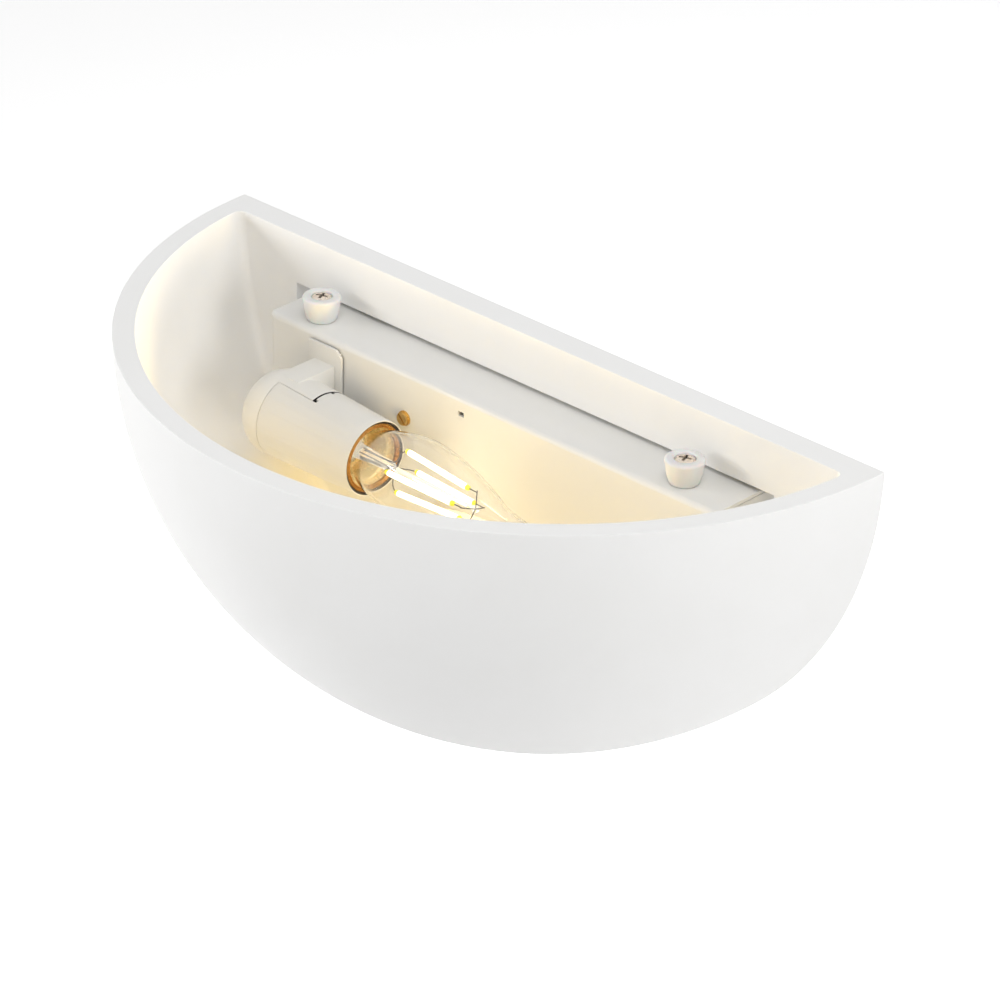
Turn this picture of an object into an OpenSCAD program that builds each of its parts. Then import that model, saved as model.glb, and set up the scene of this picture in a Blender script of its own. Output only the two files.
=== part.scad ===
// Uplighter wall sconce: a plaster bowl on a folded steel channel, with one small screw-cap lamp.
// X runs along the wall, +Y points into the wall, +Z up. The origin is the centre of the wall plate,
// on the wall's face. All sizes are in millimetres.

/* [Bowl] */
// Outer radius of the bowl, half its width
bowl_r = 150; // [140:1:185]
// Thickness of the round wall
bowl_wall = 8; // [6:0.5:9]
// Thickness of the flat back
bowl_back = 10.5; // [8:0.5:11.5]
// How far the centre of the sphere lies behind the wall's face
bowl_centre_behind = 1; // [0:0.5:2]
// How far the centre of the sphere lies above the rim
bowl_centre_above = 3; // [1:0.5:6]
// Height of the rim above the fixing centre
rim_h = 44; // [40:1:48]
// Radius of the hollow's corner against the back
bowl_fillet = 4; // [2:0.5:8]
// Gap in the cut-out at each end of the channel
cutout_end_gap = 7.5; // [3:0.5:10]
// Gap in the cut-out under the channel
cutout_under_gap = 4; // [2:0.5:10]
// How far the cut-out's top edge rises above the channel, inside the bowl
cutout_rise = 1.7; // [0.5:0.1:3]
// Depth of that rise; behind it the bowl rests on the channel
cutout_rise_depth = 7; // [4:0.5:7]

/* [Channel] */
// Length of the channel
channel_w = 210; // [174:1:220]
// Depth of the channel from the wall to its front
channel_d = 31; // [29.5:0.5:38]
// Height of the channel
channel_h = 46; // [44:1:56]
// Thickness of the channel's sheet
sheet = 1.2; // [1:0.1:1.5]
// Outer radius of the channel's bends
bend_r = 2; // [1.8:0.1:3]
// Slit between each end flap and the flanges
flap_slit = 0.3; // [0.2:0.1:0.6]

/* [Wall plate] */
// Gap between each end of the wall plate and the channel
plate_end_gap = 8.8; // [1:0.2:9]
// Gap between the wall plate's long edges and the channel
plate_edge_gap = 1.8; // [0.6:0.2:4]
// Thickness of the wall plate
plate_t = 1.5; // [1.2:0.1:2]
// Distance between the centres of the two fixing slots
slot_spacing = 120; // [80:1:130]
// Length of each fixing slot, end to end
slot_len = 12; // [8:1:16]
// Width of each fixing slot
slot_w = 5.2; // [4.2:0.2:6]
// Diameter of the cable hole through the lined opening
cable_hole_d = 10; // [8:0.5:12]
// Wall of the lining round the cable hole
cable_bush_wall = 2.5; // [1.5:0.5:3]

/* [Clamp screws and bushes] */
// Distance of each clamp screw from the channel's end, before both are shifted
clamp_inset = 19.4; // [18:0.1:24]
// How far both clamp screws are shifted to the left
clamp_shift = 2.4; // [0:0.1:2.5]
// Gap between the bushes and the bowl's back
bush_gap = 4.5; // [0.5:0.1:5]
// Shank diameter of the clamp screws
screw_d = 3.5; // [3:0.1:4.3]
// Shank length of the clamp screws
screw_len = 16; // [15:1:18]
// Head diameter of the clamp screws
head_d = 7; // [6:0.5:8]
// Head height of the clamp screws
head_h = 2.6; // [2:0.1:2.8]
// Diameter of a bush at its foot
bush_foot_d = 10.4; // [9.5:0.1:11]
// Diameter of a bush at its top
bush_top_d = 14; // [12:0.1:15]
// Height of a bush
bush_h = 9.3; // [8:0.1:10]
// Height of the nut under each lug
nut_h = 5.6; // [4:0.1:6]

/* [Lampholder] */
// Middle of the lampholder's mouth, from the channel's left end
mouth_from_end = 71.6; // [66:0.1:80]
// Distance of the lampholder's axis from the channel's front, at the mouth
mouth_from_channel = 19; // [17.5:0.1:24]
// Height of the lampholder's mouth below the fixing centre
mouth_down = 1.8; // [1.2:0.1:2.4]
// Angle by which the lamp turns away from the wall
lamp_yaw = 2; // [0:0.5:3]
// Length of the lampholder
holder_len = 58; // [57:0.5:62]
// Outer radius at the mouth
mouth_r = 13.9; // [13.7:0.1:14.4]
// Outer radius at the rear
holder_r = 15.8; // [15:0.1:16.2]
// Radius of the rounded rear edge
holder_round = 11; // [9:0.5:12]
// Wall of the lampholder's shells
holder_wall = 1.3; // [1:0.1:1.4]
// Depth from the mouth to the joint line round the rear shell
joint_depth = 44; // [43.5:0.5:46]
// Depth from the mouth to the end of the rear shell's tongue
tongue_depth = 26; // [24:0.5:30]
// Width of the square arm
arm_w = 9.8; // [9.8:0.2:11]
// Height of the square arm
arm_h = 11; // [10:0.5:12]
// Length of the foot plate along the channel
foot_w = 16; // [15:0.5:18]
// Height of the foot plate
foot_h = 27; // [24:0.5:30]
// Thickness of the foot plate
foot_t = 1.5; // [1.2:0.1:2]

/* [Lamp] */
// Largest diameter of the glass
glass_d = 30; // [28:0.5:35]
// How far the glass stands out of the mouth
glass_out = 80; // [72:1:90]
// Wall of the glass
glass_wall = 0.8; // [0.6:0.1:1]
// Outer diameter of the cap's thread
cap_d = 13.9; // [13.4:0.1:16.7]
// Pitch of the cap's thread
cap_pitch = 2.82; // [2.7:0.01:2.9]
// Length of a filament
filament_len = 32; // [26:1:34]
// Diameter of a filament
filament_d = 1.9; // [1.4:0.1:2.3]

/* [Hidden] */
$fn = 96;
cut = 1; // how far a cutter runs past a face
over = 0.2; // how far two lumps of one piece run into each other
turn_gap = 0.05; // running clearance on the clamp screws' shanks
loose_gap = 0.35; // clearance round a shank or cap that touches nothing
seat_gap = 0.1; // clearance round a fixed piece in its seat

// Derived from the driving sizes
half_h = channel_h / 2;
front_y = -channel_d;
inner_y = front_y + sheet;
inner_top = half_h - sheet;
plate_w = channel_w - 2 * (sheet + plate_end_gap);
plate_h = channel_h - 2 * (sheet + plate_edge_gap);
screw_r = screw_d / 2;
clamp_y = bowl_back + bush_gap + bush_top_d / 2;
lug_t = plate_t;
lug_w = 13;
lug_end = clamp_y + 6; // distance of a lug's front edge from the wall
counterbore = head_h; // the heads lie flush with the bushes' tops
seat_z = half_h + bush_h - counterbore;
mouth_x = mouth_from_end - channel_w / 2;
mouth_y = front_y - mouth_from_channel;

function clamp_x(side) = side * (channel_w / 2 - clamp_inset) - clamp_shift;

// ---------- shared shapes ----------

// Revolves a profile of [radius, distance along the axis] round the lamp's own X axis.
module turned() {
    rotate([0, 90, 0])
        rotate_extrude()
            children();
}

// Puts what is drawn round the lamp's own X axis, with X = 0 at the mouth, in its place.
module at_lamp() {
    translate([mouth_x, mouth_y, -mouth_down])
        rotate([0, 0, -lamp_yaw])
            children();
}

// A round bar from point a to point b.
module bar(a, b, r) {
    d = b - a;
    across = norm([d.x, d.y]);
    translate(a)
        rotate([0, atan2(across, d.z), atan2(d.y, d.x)])
            cylinder(r = r, h = norm(d), $fn = 24);
}

// A box given by its lowest and highest corners.
module block(low, high) {
    translate(low)
        cube(high - low);
}

// Flat outline of width w and depth d behind y = -d, with its two front corners rounded.
module front_rounded(w, d, r) {
    translate([-w / 2, r - d])
        square([w, d - r]);
    translate([r - w / 2, -d])
        square([w - 2 * r, r + over]);
    for (side = [-1, 1])
        translate([side * (w / 2 - r), r - d])
            circle(r);
}

// Box against the wall, w x d x h, with its four front edges rounded.
module front_rounded_box(w, d, h, r) {
    intersection() {
        linear_extrude(h, center = true)
            front_rounded(w, d, r);
        rotate([0, -90, 0])
            linear_extrude(w, center = true)
                front_rounded(h, d, r);
    }
}

// Points of a smooth curve through the given ones, with n steps in each span.
function curve_point(a, b, c, d, t) =
    0.5 * (2 * b + (c - a) * t + (2 * a - 5 * b + 4 * c - d) * t * t
        + (3 * b - a - 3 * c + d) * t * t * t);
function smooth(p, n) = [
    for (i = [0 : len(p) - 2], k = [0 : n - 1])
        curve_point(p[max(i - 1, 0)], p[i], p[i + 1], p[min(i + 2, len(p) - 1)], k / n),
    p[len(p) - 1]
];

// A tube of eight sides along the points p.
module swept_tube(p, r) {
    n = len(p);
    sides = 8;
    way = [for (i = [0 : n - 1]) let (w = p[min(i + 1, n - 1)] - p[max(i - 1, 0)]) w / norm(w)];
    side = [for (w = way) let (s = cross(w, abs(w.z) < 0.9 ? [0, 0, 1] : [1, 0, 0])) s / norm(s)];
    ring = [
        for (i = [0 : n - 1], k = [0 : sides - 1])
            let (a = 360 * k / sides)
                p[i] + r * (cos(a) * side[i] + sin(a) * cross(way[i], side[i]))
    ];
    walls = [
        for (i = [0 : n - 2], k = [0 : sides - 1])
            let (j = (k + 1) % sides)
                each [
                    [i * sides + k, i * sides + j, (i + 1) * sides + j],
                    [i * sides + k, (i + 1) * sides + j, (i + 1) * sides + k]
                ]
    ];
    polyhedron(ring, concat(
        walls,
        [[for (k = [0 : sides - 1]) sides - 1 - k]],
        [[for (k = [0 : sides - 1]) (n - 1) * sides + k]]
    ));
}

// ---------- bowl ----------

cavity_r = bowl_r - bowl_wall;
fillet_y = -bowl_back - bowl_fillet;
fillet_depth = bowl_centre_behind - fillet_y;
fillet_reach = sqrt(pow(cavity_r - bowl_fillet, 2) - pow(fillet_depth, 2));
flat_reach = fillet_reach * (bowl_centre_behind + bowl_back) / fillet_depth;

// Half section of the hollow: a circle, a flat back and the round corner between them.
module hollow_section() {
    past = cavity_r / fillet_reach;
    outside = [fillet_reach * past, bowl_centre_behind - fillet_depth * past]; // beyond the corner's centre
    intersection() {
        translate([0, bowl_centre_behind])
            circle(cavity_r, $fn = 180);
        polygon([
            [0, -bowl_back], [flat_reach, -bowl_back], outside,
            [outside.x + cut, outside.y], [outside.x + cut, -bowl_r], [0, -bowl_r]
        ]);
    }
    polygon([[flat_reach, -bowl_back], [fillet_reach, -bowl_back], [fillet_reach, fillet_y]]);
    translate([fillet_reach, fillet_y])
        circle(bowl_fillet);
}

module plaster_bowl() {
    centre_z = rim_h + bowl_centre_above;
    cutout_w = channel_w + 2 * cutout_end_gap;
    color("whitesmoke")
        difference() {
            intersection() {
                translate([0, bowl_centre_behind, centre_z])
                    sphere(bowl_r, $fn = 180);
                block([-bowl_r - cut, -bowl_r - cut, -bowl_r - cut], [bowl_r + cut, 0, rim_h]);
            }
            translate([0, 0, centre_z])
                rotate([90, 0, 0])
                    mirror([0, 0, 1])
                        rotate_extrude($fn = 180)
                            hollow_section();
            block([-cutout_w / 2, -bowl_back - cut, -half_h - cutout_under_gap], [cutout_w / 2, cut, half_h]);
            translate([-cutout_w / 2, -bowl_back, half_h])
                rotate([90, 0, 90])
                    linear_extrude(cutout_w)
                        polygon([
                            [cutout_rise_depth, -cut], [cutout_rise_depth, 0],
                            [-cut, cutout_rise * (1 + cut / cutout_rise_depth)], [-cut, -cut]
                        ]);
        }
}

// ---------- channel and wall plate ----------

earth_x = -38;
earth_z = 5.4;
earth_r = 1.5;
peg_x = 7.5;
peg_r = 1;
block_x = -1.5;
block_z = -7;
mark_x = -11;
mark_z = 16.8;
mark_size = [2.6, 1.8];
arm_x = mouth_x - 42.7;
arm_z = 8.4;
foot_x = arm_x + 0.1;
foot_z = 6.9;
collar_w = arm_w - 2;
collar_h = arm_h + 1;

module mounting_channel() {
    color("gainsboro")
        difference() {
            front_rounded_box(channel_w, channel_d, channel_h, bend_r);
            translate([0, cut, 0])
                front_rounded_box(channel_w - 2 * sheet, channel_d - sheet + cut, channel_h - 2 * sheet, bend_r - sheet);
            for (side = [-1, 1], end = [-1, 1])
                translate([end * channel_w / 2, (bend_r - channel_d) / 2, side * (inner_top - flap_slit / 2)])
                    cube([2 * sheet + over, channel_d - bend_r, flap_slit], center = true);
            for (side = [-1, 1])
                translate([clamp_x(side), -clamp_y, inner_top - cut])
                    cylinder(r = screw_r + loose_gap, h = sheet + 2 * cut);
            front_hole(earth_x, earth_z, earth_r + seat_gap);
            for (side = [-1, 1])
                front_hole(block_x + side * peg_x, block_z, peg_r + seat_gap);
            translate([mark_x, front_y, mark_z])
                cube([mark_size.x, 4 * sheet, mark_size.y], center = true);
            translate([arm_x, front_y, arm_z])
                cube([collar_w + 2 * seat_gap, 4 * sheet, collar_h + 2 * seat_gap], center = true);
        }
}

// A round hole through the channel's front.
module front_hole(x, z, r) {
    translate([x, front_y - cut, z])
        rotate([-90, 0, 0])
            cylinder(r = r, h = sheet + 2 * cut, $fn = 48);
}

module wall_plate() {
    cable_r = cable_hole_d / 2 + cable_bush_wall;
    color("silver")
        difference() {
            union() {
                block([-plate_w / 2, -plate_t, -plate_h / 2], [plate_w / 2, 0, plate_h / 2]);
                for (side = [-1, 1])
                    translate([clamp_x(side) - lug_w / 2, 0, 0]) {
                        block([0, -plate_t, plate_h / 2 - over], [lug_w, 0, inner_top]);
                        block([0, -lug_end, inner_top - lug_t], [lug_w, 0, inner_top]);
                    }
            }
            for (side = [-1, 1])
                translate([side * slot_spacing / 2, 0, 0])
                    fixing_slot();
            rotate([90, 0, 0])
                translate([0, 0, -cut])
                    cylinder(r = cable_r, h = plate_t + 2 * cut);
            for (side = [-1, 1])
                translate([clamp_x(side), -clamp_y, inner_top - lug_t - cut])
                    cylinder(r = screw_r + loose_gap, h = lug_t + 2 * cut);
        }
}

// A slot for one wall screw, long in X.
module fixing_slot() {
    straight = slot_len - slot_w;
    rotate([90, 0, 0])
        translate([0, 0, -cut])
            linear_extrude(plate_t + 2 * cut) {
                square([straight, slot_w], center = true);
                for (side = [-1, 1])
                    translate([side * straight / 2, 0])
                        circle(d = slot_w);
            }
}

module cable_bush() {
    neck_r = cable_hole_d / 2 + cable_bush_wall;
    flange_t = 1.5;
    flange_w = 2.5;
    color("dimgray")
        rotate([90, 0, 0])
            rotate_extrude()
                translate([cable_hole_d / 2, 0]) {
                    square([neck_r - cable_hole_d / 2, plate_t + over]);
                    translate([0, plate_t])
                        square([neck_r - cable_hole_d / 2 + flange_w, flange_t]);
                }
}

// ---------- clamp screws, bushes and nuts ----------

module clinch_nuts() {
    nut_r = screw_r + 1.85;
    color("silver")
        for (side = [-1, 1])
            translate([clamp_x(side), -clamp_y, inner_top - lug_t - nut_h])
                difference() {
                    cylinder(r = nut_r, h = nut_h);
                    translate([0, 0, -cut])
                        cylinder(r = screw_r + turn_gap, h = nut_h + 2 * cut);
                }
}

module clamp_bush(side) {
    edge = 0.5;
    waist = 3;
    foot_r = bush_foot_d / 2;
    top_r = bush_top_d / 2;
    color("white")
        translate([clamp_x(side), -clamp_y, half_h])
            difference() {
                rotate_extrude()
                    polygon([
                        [0, 0], [foot_r, 0], [(foot_r + top_r) / 2, waist], [top_r, bush_h - edge],
                        [top_r - edge, bush_h], [0, bush_h]
                    ]);
                translate([0, 0, -cut])
                    cylinder(r = screw_r + turn_gap, h = bush_h + 2 * cut);
                translate([0, 0, bush_h - counterbore])
                    cylinder(r = head_d / 2 + loose_gap, h = counterbore + cut);
            }
}

module clamp_screw(side) {
    head_r = head_d / 2;
    band = 2.1; // height of the head's straight edge
    dome_r = (pow(head_r, 2) + pow(head_h - band, 2)) / (2 * (head_h - band));
    recess = [0.52 * head_d, 0.9, 1.6]; // length, width and depth of each arm of the cross
    recess_turn = 20;
    color("silver")
        translate([clamp_x(side), -clamp_y, seat_z])
            difference() {
                union() {
                    translate([0, 0, -screw_len])
                        cylinder(r = screw_r, h = screw_len + over);
                    intersection() {
                        cylinder(r = head_r, h = head_h);
                        translate([0, 0, head_h - dome_r])
                            sphere(dome_r);
                    }
                }
                for (turn = [0, 90])
                    rotate([0, 0, recess_turn + turn])
                        translate([0, 0, head_h])
                            cube([recess.x, recess.y, 2 * recess.z], center = true);
            }
}

module left_bush() { clamp_bush(-1); }
module right_bush() { clamp_bush(1); }
module left_screw() { clamp_screw(-1); }
module right_screw() { clamp_screw(1); }

// ---------- lampholder ----------

joint_gap = 0.25;
tongue_gap = 0.7; // slot at the tongue's end
tongue_side = -5; // the tongue's edge, in front of the lamp's axis
carrier_top = 14.5;
carrier_len = 28.5;
carrier_r = mouth_r - holder_wall - 2 * seat_gap;
shell_t = 0.6;
shell_r = cap_d / 2 + loose_gap + shell_t;
shell_len = 18.5;
side_contact_from = carrier_top + 10;
contact_t = 0.5;
contact_w = 5;
cap_out = 12; // depth of the cap's edge in the mouth
cap_len = 20;
insulator_len = 5;
tip_len = 2;
tip_r = 2.4;
tip_depth = cap_out + cap_len + insulator_len + tip_len;
leg_end = 49;
centre_leg_y = 0.4 - shell_r;
side_leg_y = shell_r;

// Inner radius of the shells at a depth from the mouth, up to their rounded end.
function holder_inner(depth) =
    mouth_r + (holder_r - mouth_r) * depth / (holder_len - holder_round) - holder_wall;

// Half section of the lampholder's outside, drawn in by an inset.
module holder_section(inset) {
    r = holder_r - inset;
    corner = holder_round - inset;
    straight = holder_round - holder_len;
    polygon([[0, inset > 0 ? cut : 0], [mouth_r - inset, inset > 0 ? cut : 0], [r, straight], [0, straight]]);
    translate([0, inset - holder_len])
        square([r - corner, corner + over]);
    intersection() {
        translate([r - corner, straight])
            circle(corner);
        translate([0, inset - holder_len])
            square([r, corner]);
    }
}

module holder_shell() {
    difference() {
        turned()
            holder_section(0);
        turned()
            holder_section(holder_wall);
    }
}

// The space that the rear shell takes: all behind the joint, and the tongue on the wall's side.
module rear_zone(gap) {
    wide = 2 * holder_r;
    block([-holder_len - cut, -wide, -wide], [-joint_depth - gap, wide, wide]);
    block([-joint_depth - cut, tongue_side + gap, -wide],
        [-tongue_depth - gap * tongue_gap / joint_gap, wide, wide]);
}

module holder_sleeve() {
    color("white")
        at_lamp()
            difference() {
                holder_shell();
                rear_zone(0);
            }
}

module holder_cap() {
    duct = min(arm_w, arm_h) - 2 * holder_wall - 1;
    foot_corner = 2.5;
    collar_end = inner_y + 3;
    color("white")
        difference() {
            union() {
                at_lamp()
                    intersection() {
                        holder_shell();
                        rear_zone(joint_gap);
                    }
                difference() {
                    block([arm_x - arm_w / 2, mouth_y, arm_z - arm_h / 2],
                        [arm_x + arm_w / 2, front_y - foot_t + over, arm_z + arm_h / 2]);
                    at_lamp()
                        turned()
                            holder_section(holder_wall);
                }
                translate([foot_x, front_y, foot_z])
                    rotate([90, 0, 0])
                        linear_extrude(foot_t)
                            difference() {
                                square([foot_w, foot_h], center = true);
                                for (end = [-1, 1])
                                    translate([foot_w / 2, end * foot_h / 2])
                                        circle(foot_corner, $fn = 4);
                            }
                block([arm_x - collar_w / 2, front_y - over, arm_z - collar_h / 2],
                    [arm_x + collar_w / 2, collar_end, arm_z + collar_h / 2]);
                for (end = [-1, 1])
                    snap_hook(end);
            }
            block([arm_x - duct / 2, mouth_y + 4, arm_z - duct / 2],
                [arm_x + duct / 2, collar_end + cut, arm_z + duct / 2]);
        }
}

// One wedge of the two that hold the foot behind the channel's front.
module snap_hook(end) {
    catch = 1.2;
    long = 3;
    inset = 1;
    translate([arm_x - collar_w / 2 + inset, inner_y + seat_gap, arm_z + end * (collar_h / 2 - over)])
        rotate([0, 90, 0])
            linear_extrude(collar_w - 2 * inset)
                polygon([[0, 0], [-end * (catch + over), 0], [0, long - seat_gap]]);
}

module contact_carrier() {
    base = 3;
    rear = carrier_top + carrier_len;
    color("dimgray")
        at_lamp()
            difference() {
                turned() {
                    translate([0, -rear])
                        square([carrier_r, carrier_len]);
                    translate([0, -rear])
                        square([holder_inner(rear - base) - seat_gap, base]);
                }
                turned()
                    translate([0, base - rear])
                        square([shell_r + seat_gap, carrier_len]);
                // slots for the two contact legs
                block([-leg_end, centre_leg_y - seat_gap, -contact_w / 2 - seat_gap],
                    [-tip_depth, centre_leg_y + contact_t + seat_gap, contact_w / 2 + seat_gap]);
                block([-leg_end, side_leg_y - seat_gap, -contact_w / 2 - seat_gap],
                    [seat_gap - side_contact_from, side_leg_y + contact_t + seat_gap, contact_w / 2 + seat_gap]);
            }
}

// Rings that stand for the round thread, between an inner and an outer radius.
module thread_rings(inner, outer, from, turns) {
    for (i = [0 : turns - 1])
        translate([0, from - i * cap_pitch])
            polygon([
                [inner - over, 0], [inner - over, -cap_pitch * 0.8], [inner, -cap_pitch * 0.8],
                [outer, -cap_pitch * 0.5], [outer, -cap_pitch * 0.3], [inner, 0]
            ]);
}

// The screw shell, whose front widens in two steps to line the mouth.
module thread_shell() {
    crest = cap_d / 2 + loose_gap;
    groove = 0.35;
    lining_t = 0.35;
    skirt_r = mouth_r - holder_wall - 0.3;
    throat_r = 10.4;
    skirt_from = 0.6;
    throat_from = 4.2;
    floor_at = seat_gap - carrier_top;
    rear = floor_at + lining_t - shell_len;
    color("goldenrod")
        at_lamp()
            turned() {
                difference() {
                    translate([crest, rear])
                        square([shell_t, shell_len]);
                    translate([0, rear])
                        thread_rings(crest, crest + groove, shell_len - 1, 6);
                }
                translate([crest, floor_at])
                    square([throat_r - crest, lining_t]);
                translate([throat_r - lining_t, floor_at])
                    square([lining_t, -throat_from - floor_at]);
                translate([throat_r - lining_t, -throat_from - lining_t])
                    square([skirt_r - throat_r + lining_t, lining_t]);
                translate([skirt_r - lining_t, -throat_from - lining_t])
                    square([lining_t, throat_from + lining_t - skirt_from]);
            }
}

module centre_contact() {
    pad_end = 3;
    color("goldenrod")
        at_lamp() {
            block([-tip_depth - contact_t, centre_leg_y, -contact_w / 2], [-tip_depth, pad_end, contact_w / 2]);
            block([-leg_end, centre_leg_y, -contact_w / 2],
                [-tip_depth, centre_leg_y + contact_t, contact_w / 2]);
        }
}

module side_contact() {
    color("goldenrod")
        at_lamp()
            block([-leg_end, side_leg_y, -contact_w / 2],
                [-side_contact_from, side_leg_y + contact_t, contact_w / 2]);
}

// The brass clamp at the end of each contact leg, with a hole for its wire.
module holder_terminals() {
    size = [4, 3, 6];
    wire_r = 1.1;
    color("goldenrod")
        at_lamp()
            for (leg = [[centre_leg_y - size.y, 0], [side_leg_y + contact_t, 1]])
                difference() {
                    translate([-leg_end, leg[0], -size.z / 2])
                        cube(size);
                    translate([-leg_end - cut, leg[0] + size.y / 2, 0])
                        rotate([0, 90, 0])
                            cylinder(r = wire_r, h = size.x + 2 * cut);
                }
}

// ---------- terminal block and earth ----------

block_size = [26, 14.5, 16];
pole_pitch = 8;
pole_y = inner_y + 8;
insert_r = 2.5;
insert_bore = 1.5;
insert_len = 14;
tap_r = 1.25;
tap_z = 3.5;
block_back = inner_y + block_size.y;

// Runs what is drawn at each of the three poles.
module at_poles() {
    for (i = [-1 : 1])
        translate([block_x + i * pole_pitch, pole_y, block_z])
            children();
}

module terminal_block() {
    slot = 1;
    color("white")
        difference() {
            union() {
                translate([block_x, inner_y + block_size.y / 2, block_z])
                    cube(block_size, center = true);
                for (side = [-1, 1])
                    translate([block_x + side * peg_x, front_y + 0.3, block_z])
                        rotate([-90, 0, 0])
                            cylinder(r = peg_r, h = sheet, $fn = 48);
            }
            at_poles() {
                translate([0, 0, -block_size.z / 2 - cut])
                    cylinder(r = insert_r + seat_gap, h = block_size.z + 2 * cut, $fn = 48);
                for (end = [-1, 1])
                    translate([0, 0, end * tap_z])
                        rotate([-90, 0, 0])
                            cylinder(r = 2.2, h = block_size.y, $fn = 48);
            }
            for (side = [-1, 1])
                translate([block_x + side * pole_pitch / 2, block_back, block_z])
                    cube([slot, 6, block_size.z + 2 * cut], center = true);
        }
}

module terminal_inserts() {
    color("goldenrod")
        at_poles()
            difference() {
                cylinder(r = insert_r, h = insert_len, center = true, $fn = 48);
                cylinder(r = insert_bore, h = insert_len + 2 * cut, center = true, $fn = 48);
                for (end = [-1, 1])
                    translate([0, 0, end * tap_z])
                        rotate([-90, 0, 0])
                            cylinder(r = tap_r + turn_gap, h = insert_r + cut, $fn = 48);
            }
}

module terminal_screws() {
    grip = 0.7; // the screws' tips stop this far from the pole's middle
    head_depth = 1.8;
    color("silver")
        at_poles()
            for (end = [-1, 1])
                translate([0, 0, end * tap_z])
                    rotate([-90, 0, 0])
                        difference() {
                            union() {
                                translate([0, 0, grip])
                                    cylinder(r = tap_r, h = insert_r + 1, $fn = 48);
                                translate([0, 0, insert_r + 1])
                                    cylinder(r = 2, h = head_depth, $fn = 48);
                            }
                            translate([0, 0, insert_r + 1 + head_depth])
                                cube([4.4, 0.6, 1.6], center = true);
                        }
}

washer_t = 0.5;
ring_t = 0.8;
earth_nut_h = 2.4;

module earth_screw() {
    head = 2.35;
    head_depth = 1.1;
    color("gold")
        translate([earth_x, front_y - washer_t, earth_z])
            rotate([-90, 0, 0])
                difference() {
                    union() {
                        translate([0, 0, -head_depth])
                            cylinder(r = head, h = head_depth);
                        translate([0, 0, -over])
                            cylinder(r = earth_r, h = over + washer_t + sheet + ring_t + earth_nut_h + 1);
                    }
                    translate([0, 0, -head_depth])
                        rotate([0, 0, 50])
                            cube([3 * head, 0.7, 1.2], center = true);
                }
}

module earth_washer() {
    color("gold")
        translate([earth_x, front_y, earth_z])
            rotate([90, 0, 0])
                difference() {
                    cylinder(r = 2.8, h = washer_t);
                    translate([0, 0, -cut])
                        cylinder(r = earth_r + seat_gap, h = washer_t + 2 * cut);
                }
}

// The ring at the end of the earth lead, with the sleeve that grips the wire.
module earth_ring() {
    sleeve = [7, 13]; // where the sleeve begins and ends, from the screw's axis
    color("silver")
        translate([earth_x, inner_y, earth_z])
            rotate([-90, 0, 0])
                difference() {
                    union() {
                        cylinder(r = 3.2, h = ring_t);
                        translate([0, -1.2, 0])
                            cube([sleeve[0] + over, 2.4, ring_t]);
                        translate([sleeve[0], 0, lead_r + 0.6])
                            rotate([0, 90, 0])
                                cylinder(r = lead_r + 0.6, h = sleeve[1] - sleeve[0], $fn = 48);
                    }
                    translate([0, 0, -cut])
                        cylinder(r = earth_r + seat_gap, h = ring_t + 2 * cut);
                    translate([sleeve[0] - cut, 0, lead_r + 0.6])
                        rotate([0, 90, 0])
                            cylinder(r = lead_r + seat_gap, h = sleeve[1], $fn = 48);
                }
}

module earth_nut() {
    color("gold")
        translate([earth_x, inner_y + ring_t, earth_z])
            rotate([-90, 0, 0])
                difference() {
                    cylinder(d = 6.2, h = earth_nut_h, $fn = 6);
                    translate([0, 0, -cut])
                        cylinder(r = earth_r + seat_gap / 2, h = earth_nut_h + 2 * cut);
                }
}

// ---------- leads ----------

lead_r = 0.9;
// Hand-set routes, from the lampholder's clamps to the terminal block's poles
live_route = [
    [-82.7, -57.3, -1.8], [-84.6, -57.2, -1.8], [-86.4, -55.8, -0.4], [-86, -52.6, 3.6],
    [-82.2, -49.2, 8], [-78.2, -45.4, 9.8], [-77.8, -38, 9.9], [-77.8, -31, 9.9], [-77.3, -25, 10.1],
    [-75, -19.5, 10.6], [-68, -16.5, 11], [-50, -15.5, 11.6], [-28, -15, 12], [-8, -15.2, 12],
    [2, -17, 10.8], [5.8, -20.4, 7.4], [6.5, -21.8, 3.6], [6.5, -21.8, -2]
];
neutral_route = [
    [-82, -38.4, -1.8], [-83.8, -38.4, -1.8], [-85.9, -39.2, -0.6], [-86, -41.2, 2],
    [-82.8, -42.8, 5.2], [-78.3, -41, 6.5], [-77.8, -36.2, 6.6], [-75.6, -31, 6.7], [-74.8, -25, 6.8],
    [-71.5, -20.6, 7], [-65, -18.6, 7.2], [-50, -18, 8], [-30, -18, 9], [-12, -18, 9],
    [-4.5, -19.4, 7.8], [-1.5, -21.8, 4.4], [-1.5, -21.8, -2]
];
earth_route = [
    [-28, -28.3, 5.4], [-24.5, -28.3, 5.4], [-20, -27, 6.2], [-14, -24, 6.6], [-10.4, -22.3, 5],
    [-9.5, -21.8, 2], [-9.5, -21.8, -2]
];
route_steps = 4;

module live_lead() {
    color("saddlebrown")
        swept_tube(smooth(live_route, route_steps), lead_r);
}
module neutral_lead() {
    color("royalblue")
        swept_tube(smooth(neutral_route, route_steps), lead_r);
}
module earth_lead() {
    color("yellowgreen")
        swept_tube(smooth(earth_route, route_steps), lead_r);
}

// ---------- lamp ----------

filament_from = 12.8;
neck_r = cap_d / 2 - 0.45;
neck_in = 2; // how far the neck stands in the cap
glass_r = glass_d / 2;
belly_x = 20;
shoulder = [glass_out - 20, 0.39 * glass_r];
tip_round = 0.28 * glass_r;
rod_end = filament_from + filament_len + 5.2;
bead_r = 1.4; // glass bead at the rod's end
press_end = 9;
filament_ring = 6.4;
rod_r = 0.9;
filament_turn = 70;

function bezier(a, b, c, d, t) =
    pow(1 - t, 3) * a + 3 * pow(1 - t, 2) * t * b + 3 * (1 - t) * t * t * c + pow(t, 3) * d;

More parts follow.
